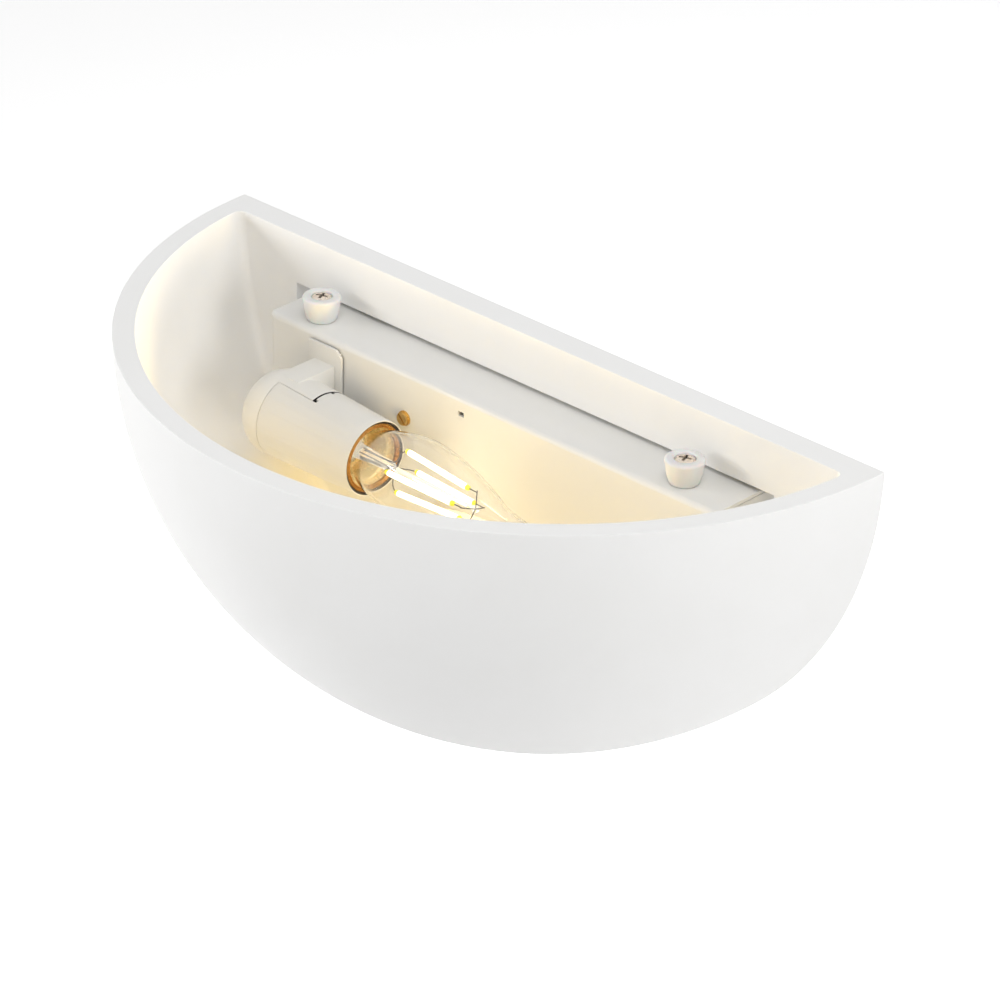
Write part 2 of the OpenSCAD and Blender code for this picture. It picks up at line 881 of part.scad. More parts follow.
// The glass outline as [distance along the axis, radius], drawn in by an inset.
function glass_outline(inset) = [
    [-cap_out - neck_in, neck_r - inset],
    for (k = [0 : 9])
        bezier([-cap_out, neck_r - inset], [-7, 0.5 * glass_r - inset], [5, 0.93 * glass_r - inset],
            [belly_x, glass_r - inset], k / 10),
    for (k = [0 : 9])
        bezier([belly_x, glass_r - inset], [belly_x + 13, glass_r - inset],
            [shoulder.x - 11, 0.67 * glass_r - inset], [shoulder.x, shoulder.y - inset], k / 10),
    for (k = [0 : 8])
        bezier([shoulder.x, shoulder.y - inset], [shoulder.x + 5, 0.67 * shoulder.y - inset],
            [glass_out - inset, tip_round - inset], [glass_out - inset, 0], k / 8)
];

// Half section under the glass outline, closed on the axis.
module glass_section(inset) {
    polygon(concat(
        [[0, -cap_out - neck_in]],
        [for (p = glass_outline(inset)) [p[1], p[0]]]
    ));
}

module lamp_glass() {
    color("lightcyan", 0.35)
        at_lamp()
            turned()
                difference() {
                    glass_section(0);
                    glass_section(glass_wall);
                    translate([-cut, -cap_out - neck_in - cut])
                        square([neck_r - glass_wall + cut, cut + over]);
                }
}

module lamp_cap() {
    wall = 0.4;
    skirt = 3;
    root_r = cap_d / 2 - 0.6;
    bore_r = root_r - wall;
    seat_r = neck_r + seat_gap / 2;
    color("khaki")
        at_lamp()
            turned() {
                translate([bore_r, -cap_out - cap_len])
                    square([wall, cap_len - skirt + wall]);
                translate([bore_r, -cap_out - skirt])
                    square([cap_d / 2 - bore_r, wall]);
                translate([seat_r, -cap_out - skirt])
                    square([cap_d / 2 - seat_r, skirt]);
                thread_rings(root_r, cap_d / 2, -cap_out - skirt, 5);
            }
}

module lamp_insulator() {
    from = -cap_out - cap_len;
    color("black")
        at_lamp()
            turned()
                polygon([
                    [0, from], [cap_d / 2 - 1.1, from], [tip_r + 0.5, from - insulator_len],
                    [0, from - insulator_len]
                ]);
}

module lamp_tip() {
    from = -cap_out - cap_len - insulator_len;
    color("silver")
        at_lamp()
            turned()
                polygon([
                    [0, from], [tip_r, from], [tip_r, from - 0.6 * tip_len], [0.7 * tip_r, from - tip_len],
                    [0, from - tip_len]
                ]);
}

module lamp_stem() {
    flare_r = neck_r - glass_wall - seat_gap;
    color("lightcyan", 0.5)
        at_lamp()
            turned() {
                translate([0, -cap_out - neck_in])
                    square([flare_r, neck_in + over]);
                polygon([
                    [0, -cap_out], [flare_r, -cap_out], [flare_r, 1 - cap_out], [3.4, 5 - cap_out],
                    [2.6, press_end - 4], [2.2, press_end], [0, press_end]
                ]);
                square([rod_r, rod_end]);
                intersection() {
                    translate([0, rod_end])
                        circle(bead_r);
                    translate([0, rod_end - bead_r])
                        square([bead_r, 2 * bead_r]);
                }
            }
}

// The point at a distance along the axis on the line of one filament, or at another radius.
function ring_point(x, i, r = filament_ring) =
    let (a = filament_turn + 90 * i)
        [x, r * cos(a), r * sin(a)];

module lamp_filaments() {
    color("lightyellow")
        at_lamp()
            for (i = [0 : 3])
                bar(ring_point(filament_from, i), ring_point(filament_from + filament_len, i), filament_d / 2);
}

// Four wires that meet in the rod's bead, with a pin to each filament, and the four feed wires.
module lamp_spider() {
    wire_r = 0.25;
    knot_r = 0.6;
    pin = 2.2;
    reach = 7.4;
    filament_to = filament_from + filament_len;
    color("dimgray")
        at_lamp() {
            translate([rod_end, 0, 0])
                sphere(knot_r, $fn = 48);
            for (i = [0 : 3]) {
                bar(ring_point(filament_to, i), ring_point(filament_to + pin, i), wire_r);
                bar(ring_point(filament_to + pin - 0.6, i, reach), [rod_end, 0, 0], wire_r);
                bar(ring_point(press_end - 1, i, 1.6), ring_point(filament_from, i), wire_r);
            }
        }
}

module lamp_driver() {
    board = [12, 8, 1];
    color("seagreen")
        at_lamp()
            translate([-cap_out - 5 - board.x, 0, 0]) {
                translate([0, -board.y / 2, -board.z / 2])
                    cube(board);
                translate([2, -2, 0])
                    cube([4, 4, 2.5]);
                translate([8, -2.5, 0])
                    cube([2.5, 5, 1.8]);
            }
}

plaster_bowl();
mounting_channel();
wall_plate();
clinch_nuts();
cable_bush();
left_bush();
right_bush();
left_screw();
right_screw();
holder_cap();
holder_sleeve();
contact_carrier();
thread_shell();
centre_contact();
side_contact();
holder_terminals();
terminal_block();
terminal_inserts();
terminal_screws();
earth_screw();
earth_washer();
earth_ring();
earth_nut();
live_lead();
neutral_lead();
earth_lead();
lamp_glass();
lamp_cap();
lamp_insulator();
lamp_tip();
lamp_stem();
lamp_filaments();
lamp_spider();
lamp_driver();
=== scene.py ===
from math import cos, pi, radians, sin

import bmesh
import bpy
from mathutils import Matrix, Vector


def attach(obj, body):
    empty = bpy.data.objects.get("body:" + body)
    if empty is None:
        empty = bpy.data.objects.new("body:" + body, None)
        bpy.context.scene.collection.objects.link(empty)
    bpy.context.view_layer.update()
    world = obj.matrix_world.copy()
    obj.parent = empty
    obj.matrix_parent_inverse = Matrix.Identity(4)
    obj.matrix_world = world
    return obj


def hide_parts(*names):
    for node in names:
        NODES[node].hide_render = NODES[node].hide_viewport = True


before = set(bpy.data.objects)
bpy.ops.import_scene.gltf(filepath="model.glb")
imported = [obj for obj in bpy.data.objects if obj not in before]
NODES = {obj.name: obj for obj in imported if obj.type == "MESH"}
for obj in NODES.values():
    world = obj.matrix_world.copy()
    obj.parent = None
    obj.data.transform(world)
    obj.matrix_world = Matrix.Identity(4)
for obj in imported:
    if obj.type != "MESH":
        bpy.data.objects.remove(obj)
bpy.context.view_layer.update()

# Places and sizes taken over from the part, in metres. Those of the lamp are measured along it, from the mouth.
RIM_Z = 0.044
BOWL_R, HOLLOW_R = 0.150, 0.142
BOWL_CENTRE = Vector((0, 0.001, 0.047))
BACK_Y = -0.0105
CHANNEL_TOP = 0.023
BUSH_X = {"left": -0.0880, "right": 0.0832}
BUSH_Y = -0.022
SEAT_Z = 0.0297
FRONT_Y = -0.031
MOUTH = Vector((-0.0334, -0.050, -0.0018))
LAMP_YAW = radians(-2)
CAP_OUT = 0.012
NECK_R = 0.0065
GLASS_R, GLASS_OUT = 0.015, 0.080
FILAMENT_FROM, FILAMENT_TO = 0.0128, 0.0448
FILAMENT_TURN = 70
PRESS_END = 0.009
CUT_HALF_W, CUT_LOW = 0.1125, -0.027

# Set after the photograph, and not as in the part: the filaments' ring at foot and tips, and the rod's end
FILAMENT_RING = (0.0076, 0.0055)
ROD_END = 0.0497

# The middle of the narrow slot at the tongue's end, for painting shade on its walls
TONGUE_SLOT = -0.0262


# ---------- working by hand ----------

def pick_nothing():
    if bpy.context.object and bpy.context.object.mode != "OBJECT":
        bpy.ops.object.mode_set(mode="OBJECT")
    bpy.ops.object.select_all(action="DESELECT")


def take(piece):
    pick_nothing()
    piece.select_set(True)
    bpy.context.view_layer.objects.active = piece


def start(name, primitive, **how):
    """Adds a primitive as the start of a piece, and leaves it in edit mode, selected all over."""
    pick_nothing()
    getattr(bpy.ops.mesh, f"primitive_{primitive}_add")(**how)
    piece = bpy.context.object
    piece.name = piece.data.name = name
    bpy.ops.object.mode_set(mode="EDIT")
    bpy.ops.mesh.select_mode(type="VERT")
    bpy.ops.mesh.select_all(action="SELECT")
    return piece


def choose(piece, kind, wanted):
    """In edit mode, selects only the corners, edges or faces whose middle passes the test."""
    bpy.ops.mesh.select_mode(type={"verts": "VERT", "edges": "EDGE", "faces": "FACE"}[kind])
    bpy.ops.mesh.select_all(action="DESELECT")
    work = bmesh.from_edit_mesh(piece.data)
    for part in getattr(work, kind):
        if kind == "verts":
            middle = part.co
        elif kind == "edges":
            middle = (part.verts[0].co + part.verts[1].co) / 2
        else:
            middle = part.calc_center_median()
        if wanted(piece.matrix_world @ middle, part):
            part.select_set(True)
    work.select_flush_mode()
    bmesh.update_edit_mesh(piece.data)


def leave(piece, smooth=None):
    """Ends edit mode and puts the piece's place into its mesh."""
    bpy.ops.object.mode_set(mode="OBJECT")
    take(piece)
    bpy.ops.object.transform_apply(location=True, rotation=True, scale=True)
    if smooth is not None:
        bpy.ops.object.shade_smooth_by_angle(angle=radians(smooth))
    return piece


def apply(piece, kind, **settings):
    """Adds a modifier, sets it and applies it."""
    take(piece)
    made = piece.modifiers.new(kind.title(), kind)
    for setting, value in settings.items():
        setattr(made, setting, value)
    bpy.ops.object.modifier_apply(modifier=made.name)


def outward(piece):
    """Closes doubles and points every face outwards."""
    take(piece)
    bpy.ops.object.mode_set(mode="EDIT")
    bpy.ops.mesh.select_all(action="SELECT")
    bpy.ops.mesh.remove_doubles(threshold=1e-6)
    bpy.ops.mesh.normals_make_consistent(inside=False)
    bpy.ops.object.mode_set(mode="OBJECT")


def join(first, *others):
    take(first)
    for other in others:
        other.select_set(True)
    bpy.ops.object.join()
    return first


def cut_away(piece, tool):
    apply(piece, "BOOLEAN", operation="DIFFERENCE", object=tool, solver="EXACT")
    bpy.data.objects.remove(tool)


def block(name, low, high):
    """A plain box between two corners, for cutting with."""
    low, high = Vector(low), Vector(high)
    piece = start(name, "cube", size=1, location=(low + high) / 2)
    bpy.ops.transform.resize(value=high - low, center_override=(low + high) / 2)
    return leave(piece)


def turned(name, outline, steps, smooth):
    """Spins an outline of (distance along X, radius) round the X axis. Ends at radius 0 close it."""
    piece = start(name, "plane", size=0.001, location=(outline[0][0], outline[0][1], 0))
    bpy.ops.mesh.merge(type="CENTER")
    at = outline[0]
    for point in outline[1:]:
        step = (point[0] - at[0], point[1] - at[1], 0)
        bpy.ops.mesh.extrude_region_move(TRANSFORM_OT_translate={"value": step})
        at = point
    bpy.ops.mesh.select_all(action="SELECT")
    bpy.ops.mesh.spin(steps=steps, angle=2 * pi, center=(0, 0, 0), axis=(1, 0, 0))
    bpy.ops.mesh.select_all(action="SELECT")
    bpy.ops.mesh.remove_doubles(threshold=1e-6)
    bpy.ops.mesh.normals_make_consistent(inside=False)
    return leave(piece, smooth)


def softened(name, node):
    """A copy of a node, merged, with its flat faces made whole and its edges rounded off."""
    width, corner = 0.00014, radians(32)
    bpy.context.view_layer.update()
    piece = NODES[node].copy()
    piece.data = piece.data.copy()
    piece.name = piece.data.name = name
    bpy.context.scene.collection.objects.link(piece)
    place = NODES[node].matrix_world.copy()
    piece.parent = None
    piece.matrix_world = place
    take(piece)
    bpy.ops.object.transform_apply(location=True, rotation=True, scale=True)
    bpy.ops.mesh.customdata_custom_splitnormals_clear()
    bpy.ops.object.mode_set(mode="EDIT")
    bpy.ops.mesh.select_all(action="SELECT")
    bpy.ops.mesh.remove_doubles(threshold=2e-6)
    bpy.ops.mesh.dissolve_limited(angle_limit=radians(0.5))
    bpy.ops.object.mode_set(mode="OBJECT")
    apply(piece, "BEVEL", width=width, segments=2, limit_method="ANGLE", angle_limit=corner,
          use_clamp_overlap=True)
    take(piece)
    bpy.ops.object.shade_smooth_by_angle(angle=corner)
    return piece


def paint(piece, finish, wanted):
    """Gives the faces that pass the test a finish of their own."""
    piece.data.materials.append(finish)
    for face in piece.data.polygons:
        if wanted(face.center, face.normal):
            face.material_index = len(piece.data.materials) - 1


def stand_up(piece, at):
    """Turns a piece from along X to along +Z, and puts it in its place."""
    take(piece)
    piece.matrix_world = Matrix.Translation(at) @ Matrix.Rotation(-pi / 2, 4, "Y")
    bpy.ops.object.transform_apply(location=True, rotation=True, scale=True)


def into_lamp(piece):
    """Moves a piece drawn round the X axis, with the lampholder's mouth at X = 0, into the lamp's place."""
    take(piece)
    piece.matrix_world = Matrix.Translation(MOUTH) @ Matrix.Rotation(LAMP_YAW, 4, "Z")
    bpy.ops.object.transform_apply(location=True, rotation=True, scale=True)


def from_mouth(point):
    """A place measured from the lampholder's mouth, with X along the lamp."""
    return Matrix.Rotation(-LAMP_YAW, 3, "Z") @ (point - MOUTH)


def dress(piece, body, material, slot, *nodes):
    """Gives a piece its finish, hangs it on the body it rides on, and hides the nodes it stands for."""
    piece.data.materials.clear()
    piece.data.materials.append(material)
    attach(piece, body)
    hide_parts(*nodes)


# ---------- effects that several finishes share ----------

def effect(name, inputs, outputs):
    """A new node group with named inputs {name: value} and outputs {name: kind}."""
    made = bpy.data.node_groups.new(name, "ShaderNodeTree")
    for label, value in inputs.items():
        kind = "NodeSocketColor" if isinstance(value, tuple) else "NodeSocketFloat"
        socket = made.interface.new_socket(label, in_out="INPUT", socket_type=kind)
        socket.default_value = value
    for label, kind in outputs.items():
        made.interface.new_socket(label, in_out="OUTPUT", socket_type=f"NodeSocket{kind}")
    return made, made.nodes.new("NodeGroupInput"), made.nodes.new("NodeGroupOutput")


def place_node(tree, kind, links=None, **settings):
    """Adds a node, sets its properties, and fills its inputs with values or links."""
    node = tree.nodes.new(f"ShaderNode{kind}")
    for setting, value in settings.items():
        setattr(node, setting, value)
    for socket, value in (links or {}).items():
        put(tree, node.inputs[socket], value)
    return node


def put(tree, socket, value):
    if isinstance(value, bpy.types.NodeSocket):
        tree.links.new(value, socket)
    else:
        socket.default_value = value


def blended(tree, share, first, second):
    """The first colour where the share is 0, and the second where it is 1."""
    mix = place_node(tree, "Mix", {0: share, 6: first, 7: second}, data_type="RGBA")
    return mix.outputs[2]


def make_mottle():
    """Two colours drifting into each other, as on a cast or moulded surface."""
    tree, given, out = effect(
        "mottle",
        {"Colour": (0.8, 0.8, 0.8, 1), "Second colour": (0.7, 0.7, 0.7, 1), "Scale": 20.0, "Share": 0.5},
        {"Colour": "Color", "Mask": "Float"},
    )
    where = place_node(tree, "TexCoord")
    wide = place_node(tree, "TexNoise", {
        "Vector": where.outputs["Object"], "Scale": given.outputs["Scale"], "Detail": 5.0, "Roughness": 0.6})
    spread = place_node(tree, "MapRange", {
        "Value": wide.outputs["Fac"], "From Min": 0.35, "From Max": 0.65, "To Min": 0.0, "To Max": 1.0},
        interpolation_type="SMOOTHSTEP")
    share = place_node(
        tree, "Math", {0: spread.outputs["Result"], 1: given.outputs["Share"]}, operation="MULTIPLY")
    tone = blended(tree, share.outputs["Value"], given.outputs["Colour"], given.outputs["Second colour"])
    tree.links.new(tone, out.inputs["Colour"])
    tree.links.new(spread.outputs["Result"], out.inputs["Mask"])
    return tree


def make_grain():
    """A fine relief: soft waves with smaller grain on them."""
    tree, given, out = effect(
        "grain", {"Wave scale": 60.0, "Grain scale": 900.0, "Grain share": 0.5}, {"Height": "Float"})
    where = place_node(tree, "TexCoord")
    waves = place_node(tree, "TexNoise", {
        "Vector": where.outputs["Object"], "Scale": given.outputs["Wave scale"], "Detail": 2.0})
    fine = place_node(tree, "TexNoise", {
        "Vector": where.outputs["Object"], "Scale": given.outputs["Grain scale"],
        "Detail": 4.0, "Roughness": 0.65})
    scaled = place_node(
        tree, "Math", {0: fine.outputs["Fac"], 1: given.outputs["Grain share"]}, operation="MULTIPLY")
    total = place_node(tree, "Math", {0: waves.outputs["Fac"], 1: scaled.outputs["Value"]}, operation="ADD")
    tree.links.new(total.outputs["Value"], out.inputs["Height"])
    return tree


MOTTLE, GRAIN = make_mottle(), make_grain()


def use(tree, group, **inputs):
    node = tree.nodes.new("ShaderNodeGroup")
    node.node_tree = group
    for label, value in inputs.items():
        put(tree, node.inputs[label.replace("_", " ")], value)
    return node


def new_finish(name):
    made = bpy.data.materials.new(name)
    made.use_nodes = True
    tree = made.node_tree
    tree.nodes.clear()
    out = tree.nodes.new("ShaderNodeOutputMaterial")
    shader = tree.nodes.new("ShaderNodeBsdfPrincipled")
    tree.links.new(shader.outputs["BSDF"], out.inputs["Surface"])
    return made, tree, shader, out


def finish_of(name, colour, second, patch, share, rough, waves, grain, grain_share, relief, depth, **sockets):
    """A finish with drifting colour, roughness that follows it, and fine relief."""
    made, tree, shader, _ = new_finish(name)
    tone = use(tree, MOTTLE, Colour=colour + (1,), Second_colour=second + (1,), Scale=patch, Share=share)
    tree.links.new(tone.outputs["Colour"], shader.inputs["Base Color"])
    gloss = place_node(tree, "MapRange", {
        "Value": tone.outputs["Mask"], "To Min": rough[0], "To Max": rough[1]})
    tree.links.new(gloss.outputs["Result"], shader.inputs["Roughness"])
    height = use(tree, GRAIN, Wave_scale=waves, Grain_scale=grain, Grain_share=grain_share)
    bump = place_node(tree, "Bump", {
        "Height": height.outputs["Height"], "Strength": relief, "Distance": depth})
    tree.links.new(bump.outputs["Normal"], shader.inputs["Normal"])
    for label, value in sockets.items():
        shader.inputs[label.replace("_", " ")].default_value = value
    return made


def make_clear_glass(name, tint, bending=1.47, clear=1.0, lit=0.0):
    """Glass that lets the lamp's light through, as a thin wall does. Above 0, lit makes it glow warm: painted
    light, for glass that the filaments light.
    """
    made, tree, shader, out = new_finish(name)
    greyer = tuple(c * 0.985 for c in tint)
    tone = use(tree, MOTTLE, Colour=tint + (1,), Second_colour=greyer + (1,), Scale=40.0, Share=0.5)
    tree.links.new(tone.outputs["Colour"], shader.inputs["Base Color"])
    shader.inputs["Roughness"].default_value = 0.0
    shader.inputs["IOR"].default_value = bending
    shader.inputs["Transmission Weight"].default_value = clear
    # Painted light: a warm glow of strength lit, for the filaments' light caught in the glass; the lamp glass
    # has none.
    shader.inputs["Emission Color"].default_value = (1.0, 0.93, 0.78, 1)
    shader.inputs["Emission Strength"].default_value = lit
    ripple = use(tree, GRAIN, Wave_scale=90.0, Grain_scale=300.0, Grain_share=0.1)
    bump = place_node(tree, "Bump", {"Height": ripple.outputs["Height"], "Strength": 0.04, "Distance": 0.0005})
    tree.links.new(bump.outputs["Normal"], shader.inputs["Normal"])
    through = tree.nodes.new("ShaderNodeBsdfTransparent")
    way = tree.nodes.new("ShaderNodeLightPath")
    mix = tree.nodes.new("ShaderNodeMixShader")
    tree.links.new(way.outputs["Is Shadow Ray"], mix.inputs[0])
    tree.links.new(shader.outputs["BSDF"], mix.inputs[1])
    tree.links.new(through.outputs["BSDF"], mix.inputs[2])
    tree.links.new(mix.outputs["Shader"], out.inputs["Surface"])
    return made


def make_filament():
    """Phosphor that glows white-hot along its middle and shows its own yellow at the two ends."""
    made, tree, shader, _ = new_finish("lit filament")
    where = place_node(tree, "TexCoord")
    along = place_node(tree, "Mapping", {
        "Vector": where.outputs["Object"], "Location": -MOUTH}, vector_type="POINT")
    turn = place_node(tree, "VectorRotate", {
        "Vector": along.outputs["Vector"], "Axis": (0, 0, 1), "Angle": -LAMP_YAW}, rotation_type="AXIS_ANGLE")
    split = place_node(tree, "SeparateXYZ", {0: turn.outputs["Vector"]})
    middle = (FILAMENT_FROM + FILAMENT_TO) / 2
    off = place_node(tree, "Math", {0: split.outputs["X"], 1: middle}, operation="SUBTRACT")
    far = place_node(tree, "Math", {0: off.outputs["Value"]}, operation="ABSOLUTE")
    half, yellow_to, white_from = (FILAMENT_TO - FILAMENT_FROM) / 2, 0.0012, 0.0022
    lit = place_node(tree, "MapRange", {
        "Value": far.outputs["Value"], "From Min": half - yellow_to, "From Max": half - white_from,
        "To Min": 0.0, "To Max": 1.0}, interpolation_type="SMOOTHSTEP")
    grain = use(tree, MOTTLE, Colour=(0.8, 0.66, 0.04, 1), Second_colour=(0.7, 0.56, 0.03, 1), Scale=900.0,
                Share=0.6)
    tree.links.new(grain.outputs["Colour"], shader.inputs["Base Color"])
    glow = blended(tree, lit.outputs["Result"], (0.08, 0.085, 0.0, 1), (1.0, 0.86, 0.62, 1))
    tree.links.new(glow, shader.inputs["Emission Color"])
    way = tree.nodes.new("ShaderNodeLightPath")
    strength = place_node(tree, "MapRange", {
        "Value": way.outputs["Is Diffuse Ray"], "To Min": 5.0, "To Max": 0.2})
    tree.links.new(strength.outputs["Result"], shader.inputs["Emission Strength"])
    shader.inputs["Roughness"].default_value = 0.6
    return made


FINISHES = {
    "plaster": finish_of("plaster", (0.86, 0.858, 0.85), (0.845, 0.842, 0.83), 14.0, 0.8, (0.82, 0.95), 24.0,
                         1100.0, 0.12, 0.3, 0.0008, Specular_IOR_Level=0.25),
    "white_steel": finish_of("white painted steel", (0.775, 0.77, 0.75), (0.765, 0.76, 0.735), 25.0, 0.6,
                             (0.36, 0.46), 700.0, 2600.0, 0.2, 0.12, 0.0002),
    "zinc_steel": finish_of("zinc-plated steel", (0.66, 0.67, 0.68), (0.56, 0.57, 0.585), 160.0, 0.9,
                            (0.28, 0.45), 300.0, 2500.0, 0.4, 0.1, 0.0001, Metallic=1.0),
    "nylon": finish_of("milky nylon", (0.75, 0.76, 0.75), (0.71, 0.72, 0.71), 90.0, 0.5, (0.3, 0.4), 400.0,
                       2500.0, 0.2, 0.1, 0.0001, Subsurface_Weight=0.4, Subsurface_Scale=0.002),
    "screw_steel": finish_of("nickel-plated screw", (0.78, 0.68, 0.58), (0.66, 0.56, 0.46), 400.0, 0.8,
                             (0.25, 0.4), 900.0, 4000.0, 0.4, 0.15, 0.0001, Metallic=0.6),
    "holder_white": finish_of("white moulded plastic", (0.79, 0.775, 0.735), (0.775, 0.76, 0.715), 30.0, 0.6,
                              (0.34, 0.44), 220.0, 2200.0, 0.2, 0.1, 0.0002),
    "brass": finish_of("brass", (0.80, 0.56, 0.22), (0.66, 0.42, 0.14), 250.0, 0.8, (0.22, 0.42), 700.0,
                       3500.0, 0.4, 0.12, 0.0001, Metallic=1.0),
    "carrier": finish_of("dark insulator", (0.05, 0.045, 0.042), (0.036, 0.032, 0.03), 60.0, 0.7,
                         (0.45, 0.6), 300.0, 2500.0, 0.4, 0.15, 0.0002),
    "block_white": finish_of("natural polyamide", (0.80, 0.79, 0.74), (0.76, 0.75, 0.70), 60.0, 0.6,
                             (0.4, 0.5), 300.0, 2500.0, 0.3, 0.1, 0.0002),
    "bush_grey": finish_of("grey grommet", (0.16, 0.16, 0.165), (0.12, 0.12, 0.125), 80.0, 0.6, (0.5, 0.65),
                           300.0, 2500.0, 0.4, 0.15, 0.0002),
    "lead_brown": finish_of("brown insulation", (0.22, 0.09, 0.035), (0.17, 0.065, 0.025), 120.0, 0.6,
                            (0.35, 0.5), 500.0, 3000.0, 0.3, 0.1, 0.0001),
    "lead_blue": finish_of("blue insulation", (0.03, 0.16, 0.52), (0.02, 0.12, 0.42), 120.0, 0.6,
                           (0.35, 0.5), 500.0, 3000.0, 0.3, 0.1, 0.0001),
    "lead_earth": finish_of("earth insulation", (0.20, 0.52, 0.06), (0.16, 0.42, 0.05), 120.0, 0.6,
                            (0.35, 0.5), 500.0, 3000.0, 0.3, 0.1, 0.0001),
    "lamp_clear": make_clear_glass("lamp glass", (0.995, 0.995, 0.99)),
    "lamp_metal": finish_of("lamp cap metal", (0.74, 0.62, 0.38), (0.64, 0.50, 0.27), 200.0, 0.7,
                            (0.2, 0.36), 700.0, 3500.0, 0.3, 0.1, 0.0001, Metallic=1.0),
    "insulator": finish_of("black cap glass", (0.02, 0.02, 0.024), (0.035, 0.03, 0.03), 200.0, 0.6,
                           (0.12, 0.3), 600.0, 3000.0, 0.3, 0.1, 0.0001),
    "solder": finish_of("solder", (0.68, 0.68, 0.67), (0.55, 0.55, 0.55), 500.0, 0.8, (0.25, 0.45), 900.0,
                        3500.0, 0.4, 0.2, 0.0001, Metallic=1.0),
    "filament": make_filament(),
    "support_wire": finish_of("support wire", (0.10, 0.10, 0.11), (0.07, 0.07, 0.075), 600.0, 0.8,
                              (0.3, 0.5), 900.0, 3500.0, 0.3, 0.1, 0.0001, Metallic=0.6),
    "circuit": finish_of("circuit board", (0.03, 0.20, 0.09), (0.02, 0.13, 0.06), 500.0, 0.8, (0.35, 0.5),
                         600.0, 3000.0, 0.3, 0.1, 0.0001),
}


# Painted shade: a near-black finish laid on the walls of recesses, slots and gaps, where shade falls.
PAINTED_SHADE = finish_of("painted shade in recesses", (0.035, 0.03, 0.026), (0.02, 0.018, 0.016), 900.0, 0.7, (0.5, 0.7),
                        900.0, 4000.0, 0.4, 0.1, 0.0001)
YELLOW = finish_of("yellow stripe", (0.80, 0.62, 0.03), (0.72, 0.54, 0.02), 120.0, 0.6, (0.35, 0.5), 500.0,
                   3000.0, 0.3, 0.1, 0.0001)
# Painted light: the stem glass glows a little, for the filaments' light caught in it.
STEM_GLASS_WITH_PAINTED_GLOW = make_clear_glass("stem glass with painted glow", (0.99, 0.985, 0.97), 1.3, 0.95, 0.2)
COPPER = finish_of("copper-coloured liner", (0.52, 0.25, 0.05), (0.40, 0.17, 0.03), 220.0, 0.8, (0.2, 0.34),
                   500.0, 3500.0, 0.3, 0.1, 0.0001, Metallic=0.6)
# Painted light: a paler, less metallic copy of the liner's metal, for the inside of the shell where the lamp's
# light falls.
PAINTED_LAMPLIGHT_GOLD = finish_of("liner with painted lamplight", (0.94, 0.79, 0.44), (0.88, 0.68, 0.34), 220.0, 0.8,
                      (0.2, 0.34), 500.0, 3500.0, 0.3, 0.1, 0.0001, Metallic=0.3)


def dress_nodes():
    """Gives every node of the part the finish of its material slot."""
    for node in NODES.values():
        for place in node.material_slots:
            place.material = FINISHES[place.material.name.split(".")[0]]


# ---------- bowl ----------

def quarter_ball(name, radius, back_y, cells):
    """A quarter of a ball round BOWL_CENTRE, below the rim and in front of back_y, of even square cells."""
    middle = Vector((0, back_y, RIM_Z))
    piece = start(name, "cube", size=1.6 * radius, location=middle)
    bpy.ops.mesh.subdivide(number_cuts=2 * cells - 1)
    choose(piece, "verts", lambda p, v: p.y > back_y + 1e-6 or p.z > RIM_Z + 1e-6)
    bpy.ops.mesh.delete(type="VERT")
    bpy.ops.object.mode_set(mode="OBJECT")
    apply(piece, "CAST", cast_type="SPHERE", factor=1.0, size=radius, use_radius_as_size=False)
    take(piece)
    bpy.ops.object.transform_apply(location=True)
    bpy.context.scene.cursor.location = BOWL_CENTRE
    bpy.ops.object.origin_set(type="ORIGIN_CURSOR")
    apply(piece, "CAST", cast_type="SPHERE", factor=1.0, size=radius, use_radius_as_size=False)
    bpy.ops.object.transform_apply(location=True)
    bpy.ops.object.mode_set(mode="EDIT")
    near = 0.6 * radius / cells
    choose(piece, "verts", lambda p, v: v.is_boundary and abs(p.y - back_y) < near)
    bpy.ops.transform.resize(value=(1, 0, 1), center_override=(0, back_y, 0))
    choose(piece, "verts", lambda p, v: v.is_boundary and abs(p.z - RIM_Z) < near)
    bpy.ops.transform.resize(value=(1, 1, 0), center_override=(0, 0, RIM_Z))
    return piece


